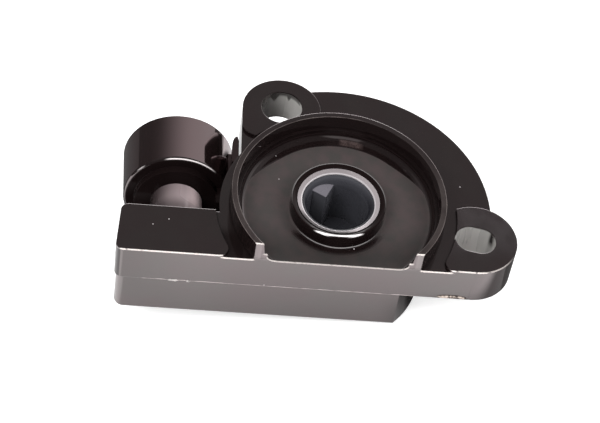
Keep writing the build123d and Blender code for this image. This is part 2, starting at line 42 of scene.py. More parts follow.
# Camera, fitted to the photograph's edges, with angles in degrees
VIEW_YAW = 7.74
VIEW_ELEVATION = 50.57
VIEW_ROLL = 10.0
CAMERA_PLACE = (-33.49, -205.90, 251.39)
LENS = 129.69
SENSOR = 36.0
CLIP_START = 10.0

# Floor: it touches the shroud's mouth and the right edge of the case, so it slopes in the part's frame
FLOOR_SIZE = 3000.0
FLOOR_LEVEL = -16.345
FLOOR_SLOPE = (0.12588, -0.04624)
FLOOR_WHITE = 0.8
FLOOR_GLOW = 0.6

# Shade of the floor as the part mirrors it: its reach, its darkest level, its share on the right side, and
# where it starts behind, on the right and at the front of the right
FLOOR_REACH = 30.0
SHADE_LEVEL = 0.06
SHADE_SIDE = 0.85
SHADE_BACK = (-10.0, -6.0)
SHADE_RIGHT = (7.0, 17.0)
SHADE_FRONT = (-17.0, -12.0)

# Mirrored floor at the left: dimmer towards the left, and open at the left end
LEFT_DIM = (-34.0, -18.0)
LEFT_LEVELS = (0.78, 1.06)
LEFT_OPEN = (-37.0, -33.0)
LEFT_REACH = (2.0, 5.0)
LEFT_GAIN = 0.35

# Light places in the mirrored shade: a lane far behind the part, and a slanted glint behind the shroud
LANE_START = (30.0, 70.0)
LANE_SIDES = (-15.0, 60.0)
LANE_SOFT = 8.0
GLINT_START = (33.0, 34.5)
GLINT_SLOPE = 0.79
GLINT_SIDES = (-16.0, 9.0)
GLINT_SOFT = 2.0

# Studio: a plain level for diffuse light, and the tent that shows in reflections, with angles in degrees
PLAIN_LEVEL = 0.75
TENT_LEVEL = 0.08
GAP_LEVEL = 0.13
GAP_TOP = (55, 62)
GAP_FOOT = (24, 44)
MID_LEVEL = 1.25
MID_TOP = (38, 46)
MID_LEFT = (-44, 34)
MID_RIGHT = (38, 58)
LOW_LEVEL = 3.6
LOW_TOP = (17, 25)
LOW_LEFT = (-16, -4)
LOW_RIGHT = (14, 26)
RIGHT_LEVEL = 0.3
FRONT_LEVEL = 0.45
FRONT_HALF = (16, 26)
FRONT_RISE = (22, 32, 62, 74)

# Where the rear of the tent starts: how far a direction points to the rear, as a share of one
BEHIND = (-0.1, 0.3)

# Lamps: a name, a place and a size in metres, and watts
LAMPS = (
    ("left_softbox", (-0.45, -0.30, 0.70), 0.5, 5.0),
    ("right_softbox", (0.55, -0.20, 0.60), 0.5, 4.0),
)

# Screw hole and slot of the plate: the slot's way, half of its straight part and of its width, how far past
# that its wall fades, and the stretch of its upright lines; and the length of the drips in the hole
HOLE = (-8.519, 19.686)
SLOT = (21.041, -4.166)
SLOT_ANGLE = -11.2
SLOT_STRAIGHT = 0.7
SLOT_HALF = 2.4
SLOT_FADE = (0.03, 0.06)
SLOT_LINES = (1, 1, 0.08)
DRIP_LENGTH = 1.3

# Floor inside the collar: its radius, how much less that is at the rear, its heights and the front's cut,
# with the softness of its edges
RECESS_R = 14.2
RECESS_REAR = 1.4
RECESS_FLOOR = (-0.58, -0.25)
FRONT_FACE = -10.4
RECESS_SOFT = 0.15
FRONT_SOFT = 0.02

# Bow of the painted highlight crescent on the boss, raggedness of the painted highlight at the seam, and
# limits for an inside corner and for an edge
BOSS_BOW = 0.028
SEAM_RAG = 0.28
CORNER_OPEN = (0.55, 0.9)
CORNER_REACH = 0.4
EDGE_TURN = (0.92, 0.993)

# Shroud's shoulder: the axis falls to the rear from this place, at this angle
SHOULDER = (8.0, -10.03)
SHOULDER_FALL = 8.0

# Black plastic: base colours, colours of its shine, gloss, rounding of its edges, grain and refraction
BLACK = ((0.0060, 0.0036, 0.0036, 1), (0.0092, 0.0058, 0.0058, 1))
SHINE = ((1.0, 0.85, 0.86, 1), (0.97, 0.88, 0.87, 1))
WARM_SHINE = (1.0, 0.72, 0.74, 1)
BLACK_GLOSS = (0.04, 0.08)
BLACK_EDGE = 0.15
BLACK_GRAIN = 0.05
BLACK_IOR = 1.62

# Depth of the grain in every material
GRAIN_DEPTH = 0.02

# Satin plastic and metal: cloud, grain and streaks, how far the roughness spreads, and the metal's edges
SATIN_CLOUD = 420.0
SATIN_GRAIN = 0.15
SATIN_SPREAD = 0.05
STREAK_STRENGTH = 0.12
STREAK_SPREAD = 0.08
METAL_EDGE = 0.05

# Shares: shine lost in places, most of it painted shade, cream line lost before the collar, and what is left
# of a fainter painted highlight line
DULL_WALL = 0.5
DULL_FLOOR = 0.85
DULL_CORNER = 0.85
DULL_FIN = 0.9
CREAM_LOSS = 0.45
SHOULDER_FAINT = 0.5

# What shows on the black plastic, dust and flash as well as painted highlights and sheen: each a colour and
# a roughness
DUST_GREY = ((0.60, 0.56, 0.56, 1), 1.0)
FLASH_HIGHLIGHT_CREAM = ((0.92, 0.84, 0.80, 1), 0.5)
SEAM_HIGHLIGHT_GREY = ((0.50, 0.44, 0.43, 1), 0.5)
BOSS_HIGHLIGHT = ((0.92, 0.88, 0.88, 1), 0.4)
RIM_HIGHLIGHT_GREY = ((0.22, 0.185, 0.175, 1), 0.4)
RIM_SHEEN_BROWN = ((0.046, 0.036, 0.034, 1), 0.3)
SEAT_GREY = ((0.022, 0.018, 0.019, 1), 0.2)
SHOULDER_HIGHLIGHT = ((0.86, 0.80, 0.80, 1), 0.4)
NOTCH_GREY = ((0.20, 0.16, 0.165, 1), 0.3)
WALL_GREY = ((0.52, 0.51, 0.49, 1), 0.35)
LEDGE_HIGHLIGHT_BROWN = ((0.064, 0.044, 0.042, 1), 0.4)

# Floor inside the collar, near and far: each two colours, then its roughness and how much it covers
RECESS_NEAR = ((0.030, 0.028, 0.027, 1), (0.038, 0.031, 0.030, 1))
RECESS_FAR = ((0.055, 0.050, 0.048, 1), (0.069, 0.054, 0.054, 1))
RECESS_DULL = 0.5
RECESS_COVER = 0.9

# Neck's painted light: its two colours and its roughness
NECK_PINK = ((0.45, 0.36, 0.37, 1), (1.0, 0.80, 0.81, 1))
NECK_DULL = 0.4

# Colours on the torn plastic, painted light and shade on the rotor and the bush, the bush's brown, and the
# bush's way to the near left
TORN_DARK = (0.035, 0.022, 0.02, 1)
TANG_PALE = (0.13, 0.122, 0.14, 1)
TANG_GREY = (0.070, 0.070, 0.080, 1)
MOUTH_DARK = (0.014, 0.014, 0.018, 1)
SOCKET_DARK = (0.040, 0.040, 0.047, 1)
RING_GREY = ((0.39, 0.35, 0.36, 1), (0.50, 0.45, 0.46, 1))
RING_BROWN = (0.03, 0.024, 0.023, 1)
NEAR_LEFT = (-0.4, -0.92)

# Inner pieces of satin plastic: material, dark and light colour, roughness, rounding of edges, CAD nodes
SATIN_PIECES = (
    ("seal_rubber", (0.008, 0.008, 0.008), (0.016, 0.015, 0.015), 0.6, 0.05, ("rotor_seal",)),
    ("board", (0.30, 0.19, 0.075), (0.38, 0.26, 0.12), 0.5, 0.05, ("resistor_board",)),
    ("carbon_film", (0.010, 0.010, 0.011), (0.022, 0.022, 0.024), 0.4, 0.02,
     ("resistive_track", "collector_track")),
    ("washer_plastic", (0.62, 0.59, 0.52), (0.72, 0.69, 0.62), 0.45, 0.05, ("thrust_washer",)),
)

# Inner pieces of metal: material, bright and dull colour, roughness, stretch of the streaks, CAD nodes
METAL_PIECES = (
    ("spring_steel", (0.60, 0.60, 0.60), (0.42, 0.41, 0.40), 0.3, (1, 1, 6), ("return_spring",)),
    ("wiper_metal", (0.80, 0.62, 0.34), (0.66, 0.50, 0.28), 0.28, (8, 1, 1), ("wiper_contact",)),
    ("silver_film", (0.78, 0.78, 0.76), (0.62, 0.60, 0.57), 0.4, (1, 4, 1), ("supply_lead", "ground_lead")),
    ("terminal_metal", (0.74, 0.73, 0.70), (0.60, 0.58, 0.53), 0.28, (1, 8, 1),
     ("terminal_signal", "terminal_ground", "terminal_supply")),
    ("rivet_metal", (0.78, 0.62, 0.36), (0.62, 0.48, 0.27), 0.3, (1, 1, 6),
     ("rivet_signal", "rivet_ground", "rivet_supply")),
)

# Drive tang's facing: corners of its top, how deep it is drawn, the floor and gap below it, and its edges
TANG_TOP = (
    (-1.66, 2.10, -0.06),
    (-0.40, 4.66, 0.02),
    (-1.42, 4.50, 0.35),
    (-2.91, 3.81, 0.65),
    (-3.60, 3.24, 0.76),
    (-3.98, 2.72, 0.70),
)
TANG_DEEP = 7.0
TANG_FLOOR = -7.7
TANG_SEAT = 0.03
TANG_EDGE = 0.05
TANG_EDGE_CUTS = 2

# Torn strips of flash at the bottom of the front: each a name, a place and a size
STRIPS = (
    ("gate_vestige", (18.10, -10.52, -6.24), (4.4, 0.30, 0.44)),
    ("seam_flash_left", (-24.00, -10.48, -6.68), (1.6, 0.20, 0.22)),
    ("seam_flash_mid", (-21.76, -10.48, -6.70), (0.6, 0.20, 0.22)),
)
STRIP_CUTS = 9
STRIP_ROUGH = 0.1
STRIP_TAPER = 0.7
STRIP_CURVE = 3

# Specks of dust on the plate: each a place and a radius
DUST = (
    ((-25.27, -4.26, 0.0), 0.12),
    ((-27.60, -5.42, 0.0), 0.10),
    ((-8.82, 5.43, -0.5), 0.10),
    ((-9.31, 9.99, -0.5), 0.10),
    ((2.52, -7.14, -0.5), 0.12),
    ((19.18, 6.41, -0.5), 0.11),
    ((-10.37, -10.5, -6.43), 0.12),
    ((-24.45, -10.5, -6.60), 0.16),
    ((-23.56, -10.5, -6.58), 0.16),
    ((-21.76, -10.5, -6.62), 0.18),
    ((-18.30, -10.5, -0.10), 0.16),
)


def set_camera():
    """Puts the camera where the photograph was taken from."""
    yaw = radians(VIEW_YAW)
    elevation = radians(VIEW_ELEVATION)
    roll = radians(VIEW_ROLL)
    forward = Vector((sin(yaw) * cos(elevation), cos(yaw) * cos(elevation), -sin(elevation)))
    level_right = Vector((cos(yaw), -sin(yaw), 0))
    level_up = level_right.cross(forward)
    right = cos(roll) * level_right + sin(roll) * level_up
    up = cos(roll) * level_up - sin(roll) * level_right
    turn = Matrix((right, up, -forward)).transposed().to_4x4()
    data = bpy.data.cameras.new("photo_camera")
    data.lens = LENS
    data.sensor_width = SENSOR
    data.sensor_fit = "HORIZONTAL"
    data.clip_start = CLIP_START * MM
    camera = bpy.data.objects.new("photo_camera", data)
    camera.matrix_world = Matrix.Translation(Vector(CAMERA_PLACE) * MM) @ turn
    bpy.context.scene.collection.objects.link(camera)
    bpy.context.scene.camera = camera


class Tree:
    """Short ways to add nodes to a material or world and link them."""

    def __init__(self, owner):
        owner.use_nodes = True
        self.nodes = owner.node_tree.nodes
        self.links = owner.node_tree.links

    def node(self, kind, **settings):
        """Adds a node with its settings."""
        node = self.nodes.new(kind)
        for name, value in settings.items():
            setattr(node, name, value)
        return node

    def feed(self, socket, value):
        """Links an output to a socket, or sets the socket's own value."""
        if isinstance(value, bpy.types.NodeSocket):
            self.links.new(value, socket)
        else:
            socket.default_value = value

    def math(self, operation, first, second=0.0):
        """Result of one operation on two values."""
        node = self.node("ShaderNodeMath", operation=operation)
        self.feed(node.inputs[0], first)
        self.feed(node.inputs[1], second)
        return node.outputs[0]

    def fold(self, operation, values):
        """Result of one operation on a row of values."""
        result = values[0]
        for value in values[1:]:
            result = self.math(operation, result, value)
        return result

    def product(self, *values):
        """Product of the values."""
        return self.fold("MULTIPLY", values)

    def total(self, *values):
        """Sum of the values."""
        return self.fold("ADD", values)

    def most(self, *values):
        """Largest of the values."""
        return self.fold("MAXIMUM", values)

    def less(self, first, second):
        """First value less the second."""
        return self.math("SUBTRACT", first, second)

    def rest(self, share):
        """One less a share."""
        return self.less(1.0, share)

    def step(self, value, low, high, start=0.0, end=1.0):
        """Smooth step from start to end, while the value goes from low to high."""
        node = self.node("ShaderNodeMapRange", interpolation_type="SMOOTHSTEP")
        self.feed(node.inputs["Value"], value)
        node.inputs["From Min"].default_value = low
        node.inputs["From Max"].default_value = high
        node.inputs["To Min"].default_value = start
        node.inputs["To Max"].default_value = end
        return node.outputs["Result"]

    def ramp(self, value, limits, levels=UP):
        """Smooth step between two levels, with limits in millimetres."""
        return self.step(value, limits[0] * MM, limits[1] * MM, *levels)

    def window(self, value, limits, soft):
        """One between two limits in millimetres and zero outside, with soft edges."""
        low, high = limits
        return self.product(
            self.ramp(value, (low - soft, low + soft)),
            self.ramp(value, (high - soft, high + soft), DOWN),
        )

    def object_place(self):
        """Place in the object's own frame."""
        return self.node("ShaderNodeTexCoord").outputs["Object"]

    def axes(self, vector):
        """The three parts of a vector."""
        split = self.node("ShaderNodeSeparateXYZ")
        self.feed(split.inputs[0], vector)
        return split.outputs

    def reach(self, side, depth, centre=(0.0, 0.0)):
        """Distance from an upright axis."""
        across = self.less(side, centre[0] * MM)
        along = self.less(depth, centre[1] * MM)
        return self.math("SQRT", self.total(self.product(across, across), self.product(along, along)))

    def stretched(self, place, scale):
        """Place with each axis scaled."""
        node = self.node("ShaderNodeMapping")
        node.inputs["Scale"].default_value = scale
        self.feed(node.inputs["Vector"], place)
        return node.outputs["Vector"]

    def noise(self, place, scale, detail):
        """Noise of a scale, with some levels of detail."""
        node = self.node("ShaderNodeTexNoise")
        self.feed(node.inputs["Vector"], place)
        node.inputs["Scale"].default_value = scale
        node.inputs["Detail"].default_value = detail
        return node.outputs["Fac"]

    def patches(self, place, scale, detail, limits, levels=UP):
        """Uneven patches between two levels, from a noise."""
        return self.step(self.noise(place, scale, detail), *limits, *levels)

    def blend(self, share, first, second):
        """Colour between two colours."""
        node = self.node("ShaderNodeMix", data_type="RGBA")
        self.feed(node.inputs["Factor"], share)
        self.feed(node.inputs["A"], first)
        self.feed(node.inputs["B"], second)
        return node.outputs["Result"]

    def bump(self, height, strength, normal):
        """Normal with a fine grain on it."""
        node = self.node("ShaderNodeBump")
        node.inputs["Strength"].default_value = strength
        node.inputs["Distance"].default_value = GRAIN_DEPTH * MM
        self.feed(node.inputs["Height"], height)
        self.feed(node.inputs["Normal"], normal)
        return node.outputs["Normal"]

    def round_edges(self, radius):
        """Normal that is rounded at the edges."""
        node = self.node("ShaderNodeBevel", samples=SHADER_SAMPLES)
        node.inputs["Radius"].default_value = radius * MM
        return node.outputs["Normal"]

    def face_normal(self):
        """Normal of the face itself, with nothing smoothed."""
        return self.node("ShaderNodeNewGeometry").outputs["True Normal"]

    def openness(self, distance, only_local):
        """How open the surroundings are within a distance."""
        node = self.node("ShaderNodeAmbientOcclusion", samples=SHADER_SAMPLES, only_local=only_local)
        node.inputs["Distance"].default_value = distance * MM
        return node.outputs["AO"]


def new_material(name):
    """A new material, its tree and its shader."""
    material = bpy.data.materials.new(name)
    tree = Tree(material)
    return material, tree, tree.nodes["Principled BSDF"]


def black_plastic(name, features, dull, blush=None):
    """Glossy black moulding: faint grain, uneven gloss, rounded edges and the features that it shows."""
    material, tree, shader = new_material(name)
    place = tree.object_place()
    cloud = tree.noise(place, scale=260.0, detail=3.0)
    base = tree.blend(cloud, *BLACK)
    gloss = tree.step(cloud, *MIDDLE, *BLACK_GLOSS)
    for feature in features:
        share, colour, dullness = feature(tree, place)
        base = tree.blend(share, base, colour)
        gloss = tree.most(gloss, tree.product(share, dullness))
    grain = tree.noise(place, scale=5200.0, detail=1.0)
    tree.feed(shader.inputs["Base Color"], base)
    tree.feed(shader.inputs["Roughness"], gloss)
    tree.feed(shader.inputs["Normal"], tree.bump(grain, BLACK_GRAIN, tree.round_edges(BLACK_EDGE)))
    shader.inputs["IOR"].default_value = BLACK_IOR
    tint = tree.blend(tree.patches(place, scale=130.0, detail=2.0, limits=(0.35, 0.65)), *SHINE)
    if blush is not None:
        tint = tree.blend(blush(tree, place), tint, WARM_SHINE)
    tree.feed(shader.inputs["Specular Tint"], tint)
    tree.feed(shader.inputs["Specular IOR Level"], tree.rest(dull(tree, place)))
    return material


def corner_share(tree):
    """How deep a point lies in an inside corner."""
    return tree.step(tree.openness(CORNER_REACH, only_local=True), *CORNER_OPEN, *DOWN)


def edge_share(tree, rounded):
    """How near a point is to an edge, from the turn of the rounded normal."""
    turn = tree.node("ShaderNodeVectorMath", operation="DOT_PRODUCT")
    tree.feed(turn.inputs[0], rounded)
    tree.feed(turn.inputs[1], tree.face_normal())
    return tree.step(turn.outputs["Value"], *EDGE_TURN, *DOWN)


def shoulder_way(tree, depth, height):
    """Distance along the shroud's axis from its shoulder."""
    fall = radians(SHOULDER_FALL)
    along = tree.product(tree.less(depth, SHOULDER[0] * MM), cos(fall))
    return tree.less(along, tree.product(tree.less(height, SHOULDER[1] * MM), sin(fall)))


def dust(tree, place):
    """Specks of dust."""
    specks = []
    for spot, radius in DUST:
        gap = tree.node("ShaderNodeVectorMath", operation="DISTANCE")
        tree.feed(gap.inputs[0], place)
        gap.inputs[1].default_value = Vector(spot) * MM
        specks.append(tree.ramp(gap.outputs["Value"], (radius * 0.5, radius), DOWN))
    return tree.most(*specks), *DUST_GREY


def front_edge_flash_highlight(tree, place):
    """Cream line along the flat front's top and round its right end, broken in places: trimmed flash with a
    painted highlight on its upper rounding.
    """
    side, depth, height = tree.axes(place)
    rounded = tree.round_edges(radius=0.46)
    upward = tree.step(tree.axes(rounded)[2], low=0.1, high=0.3)
    front = tree.ramp(depth, (-10.35, -10.3), DOWN)
    right_end = tree.product(tree.ramp(side, (20.5, 21.5)), tree.ramp(depth, (-10.0, -6.5), (0.5, 0.0)))
    top = tree.ramp(height, (-1.0, -0.9))
    broken = tree.patches(place, scale=900.0, detail=2.0, limits=(0.28, 0.42), levels=(0.2, 1.0))
    before_collar = tree.product(tree.window(side, (-11.5, 10.5), soft=1.0), CREAM_LOSS)
    share = tree.product(
        edge_share(tree, rounded),
        upward,
        tree.most(front, right_end),
        top,
        broken,
        tree.rest(before_collar),
    )
    return share, *FLASH_HIGHLIGHT_CREAM


def seam_edge_highlight(tree, place):
    """Painted highlight: a light, ragged line along the plate's lower edge at the seam of the flat front."""
    side, depth, height = tree.axes(place)
    rag = tree.product(tree.noise(place, scale=700.0, detail=3.0), SEAM_RAG * MM)
    low = tree.ramp(tree.total(height, rag), (-6.5, -6.42), DOWN)
    front = tree.ramp(depth, (-10.3, -10.2), DOWN)
    left_end = tree.ramp(side, (-29.5, -28.0))
    right_end = tree.ramp(side, (12.0, 14.0), DOWN)
    return tree.product(low, front, left_end, right_end), *SEAM_HIGHLIGHT_GREY


def boss_painted_highlights(tree, place):
    """Painted highlights on the bearing boss: a crescent on its near lip, its far edge and its near foot."""
    side, depth, height = tree.axes(place)
    radius = tree.reach(side, depth)
    bowed = tree.less(radius, tree.product(side, side, BOSS_BOW / MM))
    crescent = tree.product(
        tree.window(bowed, (6.80, 7.11), soft=0.06),
        tree.ramp(height, (1.85, 1.95)),
        tree.ramp(depth, (-5.2, -4.8), DOWN),
        tree.window(side, (-3.7, 3.5), soft=0.5),
    )
    far_edge = tree.product(
        tree.window(radius, (7.0, 7.3), soft=0.03),
        tree.ramp(height, (1.95, 2.05)),
        tree.ramp(depth, (-2.5, 4.0), (0.0, 0.17)),
    )
    foot = tree.product(
        tree.window(radius, (7.15, 7.45), soft=0.03),
        tree.window(height, (-0.42, -0.3), soft=0.03),
        tree.ramp(depth, (-6.5, -3.5), (0.26, 0.0)),
    )
    return tree.most(crescent, far_edge, foot), *BOSS_HIGHLIGHT


def rim_edge_highlights(tree, place):
    """Painted highlights on the edges of the collar's rim; on the right its inner edge is fainter."""
    side, depth, height = tree.axes(place)
    edge = edge_share(tree, tree.round_edges(radius=0.22))
    high = tree.ramp(height, (2.9, 3.1))
    outer = tree.ramp(tree.reach(side, depth), (15.7, 15.9))
    faint_right = tree.ramp(side, (0.0, 6.0), (1.0, 0.25))
    uneven = tree.patches(place, scale=500.0, detail=2.0, limits=(0.3, 0.6), levels=(0.22, 0.5))
    return tree.product(edge, high, tree.most(outer, faint_right), uneven), *RIM_HIGHLIGHT_GREY


def rim_top_sheen(tree, place):
    """Brown painted sheen on top of the collar's rim, on both sides."""
    depth, height = tree.axes(place)[1:]
    top = tree.ramp(height, (3.36, 3.42), (0.0, 0.5))
    not_rear = tree.ramp(depth, (2.0, 9.0), DOWN)
    uneven = tree.patches(place, scale=420.0, detail=3.0, limits=(0.3, 0.6), levels=(0.4, 1.0))
    return tree.product(top, not_rear, uneven), *RIM_SHEEN_BROWN


def seat_grey_patches(tree, place):
    """Lighter grey patches on the seat of the right ear, fainter towards the front."""
    side, depth, height = tree.axes(place)
    right = tree.ramp(side, (15.5, 17.0), (0.0, 0.9))
    seat = tree.window(height, (-0.06, 0.06), soft=0.02)
    fainter_near = tree.ramp(depth, (-9.0, -3.0), (0.2, 1.0))
    uneven = tree.patches(place, scale=420.0, detail=3.0, limits=(0.3, 0.6), levels=(0.6, 1.0))
    return tree.product(right, seat, fainter_near, uneven), *SEAT_GREY


def notch_faces(tree, place):
    """Paler cut faces where the flat front ends the collar."""
    side, depth, height = tree.axes(place)
    front = tree.ramp(depth, (-10.45, -10.4), DOWN)
    high = tree.ramp(height, (-0.7, 0.6))
    inner = tree.ramp(tree.reach(side, depth), (14.0, 18.0), DOWN)
    return tree.product(front, high, inner), *NOTCH_GREY


def hole_share(tree, place):
    """Wall of the screw hole, with two dark drips at its far side."""
    side, depth, height = tree.axes(place)
    inside = tree.ramp(tree.reach(side, depth, HOLE), (3.3, 3.4), DOWN)
    paler_right = tree.ramp(side, (-11.5, -6.0), (0.1, 1.0))
    drips = tree.most(tree.window(side, (-9.9, -9.2), soft=0.5), tree.window(side, (-7.4, -7.2), soft=0.3))
    dark_top = tree.ramp(tree.total(height, tree.product(drips, DRIP_LENGTH * MM)), (-1.2, -0.5), (0.0, 0.8))
    far_side = tree.ramp(depth, (20.5, 21.5))
    return tree.product(inside, paler_right, tree.rest(tree.product(dark_top, far_side)))


def slot_share(tree, place):
    """Wall of the slot, with faint upright lines and a dark streak at its right end."""
    side, depth, height = tree.axes(place)
    turn = radians(SLOT_ANGLE)
    right = tree.less(side, SLOT[0] * MM)
    back = tree.less(depth, SLOT[1] * MM)
    along = tree.total(tree.product(right, cos(turn)), tree.product(back, sin(turn)))
    across = tree.less(tree.product(back, cos(turn)), tree.product(right, sin(turn)))
    past = tree.less(tree.math("ABSOLUTE", along), SLOT_STRAIGHT * MM)
    from_middle = tree.reach(tree.most(past, 0.0), across)
    fade = (SLOT_HALF + SLOT_FADE[0], SLOT_HALF + SLOT_FADE[1])
    inside = tree.ramp(from_middle, fade, (0.85, 0.0))
    right_end = tree.window(side, (23.42, 23.95), soft=0.18)
    streak = tree.product(right_end, tree.ramp(height, (-3.4, -1.6), (0.25, 0.95)))
    upright = tree.stretched(place, SLOT_LINES)
    lines = tree.patches(upright, scale=900.0, detail=2.0, limits=MIDDLE, levels=(0.85, 1.0))
    return tree.product(inside, tree.rest(streak), lines)


def hole_walls(tree, place):
    """Grey walls of the screw hole and the slot."""
    height = tree.axes(place)[2]
    below = tree.ramp(height, (-0.3, -0.1), DOWN)
    return tree.product(tree.most(hole_share(tree, place), slot_share(tree, place)), below), *WALL_GREY


def recess_share(tree, place):
    """The floor inside the collar, apart from the strip where it mirrors the boss's near foot."""
    side, depth, height = tree.axes(place)
    radius = tree.reach(side, depth)
    near_foot = tree.product(tree.ramp(radius, (7.9, 8.9), DOWN), tree.ramp(depth, (-5.5, -3.5), DOWN))
    outer = tree.total(radius, tree.ramp(depth, (4.0, 10.0), (0.0, RECESS_REAR * MM)))
    return tree.product(
        tree.ramp(outer, (RECESS_R - RECESS_SOFT, RECESS_R + RECESS_SOFT), DOWN),
        tree.window(height, RECESS_FLOOR, soft=0.04),
        tree.ramp(depth, (FRONT_FACE - FRONT_SOFT, FRONT_FACE + FRONT_SOFT)),
        tree.rest(near_foot),
    )


def recess_floor(tree, place):
    """Matt brown floor inside the collar, darker towards the front."""
    depth = tree.axes(place)[1]
    mottle = tree.patches(place, scale=520.0, detail=4.0, limits=MIDDLE)
    near = tree.blend(mottle, *RECESS_NEAR)
    far = tree.blend(mottle, *RECESS_FAR)
    colour = tree.blend(tree.ramp(depth, (-9.0, -1.0)), near, far)
    return tree.product(recess_share(tree, place), RECESS_COVER), colour, RECESS_DULL


def ledge_highlight(tree, place):
    """Brown painted highlight on the ledge at the rear of the recess."""
    side, depth, height = tree.axes(place)
    share = tree.product(
        tree.window(side, (0.6, 4.1), soft=0.3),
        tree.window(tree.reach(side, depth), (13.15, 14.2), soft=0.2),
        tree.patches(place, scale=1300.0, detail=2.0, limits=(0.3, 0.6), levels=(0.45, 1.0)),
        tree.ramp(depth, (10.0, 11.0), (0.0, 0.9)),
        tree.ramp(height, (0.0, 0.2), DOWN),
    )
    return share, *LEDGE_HIGHLIGHT_BROWN


def plate_dull(tree, place):
    """Less shine on the boss, in the recess, in inside corners and at the collar's left foot: painted shade,
    except on the recess's floor, which is matt.
    """
    side, depth, height = tree.axes(place)
    radius = tree.reach(side, depth)
    boss = tree.product(tree.ramp(radius, (7.45, 7.6), (0.9, 0.0)), tree.ramp(height, (-0.42, -0.32)))
    foot = tree.product(
        tree.ramp(side, (-14.2, -14.0), DOWN),
        tree.ramp(height, (-0.4, -0.3), DOWN),
        tree.ramp(depth, (-6.5, -4.0), (0.75, 0.0)),
        tree.ramp(depth, (-10.45, -10.35)),
    )
    wall = tree.product(
        tree.window(radius, (14.2, 15.6), soft=0.05),
        tree.window(height, (-0.1, 3.4), soft=0.03),
        DULL_WALL,
    )
    floor = tree.product(recess_share(tree, place), DULL_FLOOR)
    corner = tree.product(corner_share(tree), DULL_CORNER)
    return tree.most(boss, foot, wall, floor, corner)


def neck_painted_light(tree, place):
    """Painted light on the neck: pinkish, palest on its right, and fading towards the tab."""
    side, depth, height = tree.axes(place)
    share = tree.product(
        tree.ramp(side, (-28.6, -20.5)),
        tree.ramp(side, (-19.8, -19.4), DOWN),
        tree.ramp(shoulder_way(tree, depth, height), (-1.3, -1.2), DOWN),
        tree.ramp(depth, (-1.9, -1.7)),
        tree.ramp(depth, (3.2, 5.4), (0.4, 1.0)),
        tree.ramp(height, (-11.5, -9.0)),
    )
    return share, tree.blend(tree.ramp(side, (-22.9, -20.7)), *NECK_PINK), NECK_DULL


def shoulder_highlight(tree, place):
    """Painted highlight along the top of the shroud's shoulder, and a fainter one at its left."""
    side, depth, height = tree.axes(place)
    middle = tree.window(side, (-25.9, -18.7), soft=0.6)
    left = tree.product(tree.window(side, (-30.2, -29.4), soft=0.35), SHOULDER_FAINT)
    edge = tree.window(shoulder_way(tree, depth, height), (0.07, 0.2), soft=0.04)
    high = tree.ramp(height, (-8.5, -7.0))
    return tree.product(tree.most(middle, left), edge, high), *SHOULDER_HIGHLIGHT


def case_dull(tree, place):
    """Less shine, as painted shade, on the end of the shroud and its step, and on the fin beside them."""
    side, depth, height = tree.axes(place)
    end = tree.product(
        tree.window(shoulder_way(tree, depth, height), (-1.25, 0.04), soft=0.03),
        tree.ramp(side, (-15.5, -14.5), (0.96, 0.0)),
    )
    fin = tree.product(
        tree.window(side, (-19.3, -15.5), soft=0.1),
        tree.window(depth, (4.8, 9.0), soft=0.2),
        DULL_FIN,
    )
    return tree.most(end, fin)


def shroud_blush(tree, place):
    """Warmer shine on the shroud's band."""
    depth, height = tree.axes(place)[1:]
    return tree.ramp(shoulder_way(tree, depth, height), (0.2, 0.7))


def painted(tree, place, base, features):
    """Base colour with the colours of the features on it."""
    for feature in features:
        share, colour = feature(tree, place)
        base = tree.blend(share, base, colour)
    return base


def satin_plastic(name, dark, light, roughness, edge, features=(), cloud_scale=SATIN_CLOUD):
    """Satin plastic with a faint cloud in its colour and a fine grain."""
    material, tree, shader = new_material(name)
    place = tree.object_place()
    cloud = tree.noise(place, cloud_scale, detail=3.0)
    base = tree.blend(cloud, (*dark, 1), (*light, 1))
    tree.feed(shader.inputs["Base Color"], painted(tree, place, base, features))
    rough = tree.step(cloud, *MIDDLE, roughness - SATIN_SPREAD, roughness + SATIN_SPREAD)
    tree.feed(shader.inputs["Roughness"], rough)
    grain = tree.noise(place, scale=4200.0, detail=1.0)
    tree.feed(shader.inputs["Normal"], tree.bump(grain, SATIN_GRAIN, tree.round_edges(edge)))
    return material


def torn_spots(tree, place):
    """Dark spots in torn plastic."""
    return tree.patches(place, scale=2000.0, detail=2.0, limits=(0.42, 0.56), levels=(0.95, 0.0)), TORN_DARK


def tang_top_light(tree, place):
    """Painted light on the top of the drive tang, which is pale."""
    side, depth, height = tree.axes(place)
    high = tree.ramp(height, (-1.6, -1.3))
    upward = tree.step(tree.axes(tree.face_normal())[2], low=0.8, high=0.9)
    inner = tree.ramp(tree.reach(side, depth), (4.75, 4.85), DOWN)
    return tree.product(high, upward, inner), TANG_PALE


def tang_sides(tree, place):
    """Paler sides of the drive tang: painted light."""
    side, depth, height = tree.axes(place)
    upward = tree.axes(tree.face_normal())[2]
    share = tree.product(
        tree.step(tree.math("ABSOLUTE", upward), 0.3, 0.5, *DOWN),
        tree.window(side, (-4.3, -0.1), soft=0.1),
        tree.ramp(depth, (1.5, 1.8)),
        tree.ramp(tree.reach(side, depth), (4.4, 4.5), DOWN),
        tree.ramp(height, (0.0, 0.5), DOWN),
    )
    return share, TANG_GREY


def mouth_shade(tree, place):
    """Darker flare at the socket's mouth."""
    side, depth, height = tree.axes(place)
    outer = tree.ramp(tree.reach(side, depth), (4.6, 4.75))
    high = tree.ramp(height, (-0.3, 0.0))
    fainter_far = tree.ramp(depth, (-1.0, 4.0), (1.0, 0.2))
    return tree.product(outer, high, fainter_far), MOUTH_DARK


def socket_floor(tree, place):
    """Darker floor of the socket: painted shade."""
    side, depth, height = tree.axes(place)
    inner = tree.ramp(tree.reach(side, depth), (4.6, 4.7), DOWN)
    low = tree.ramp(height, (-7.65, -7.5), DOWN)
    return tree.product(inner, low), SOCKET_DARK


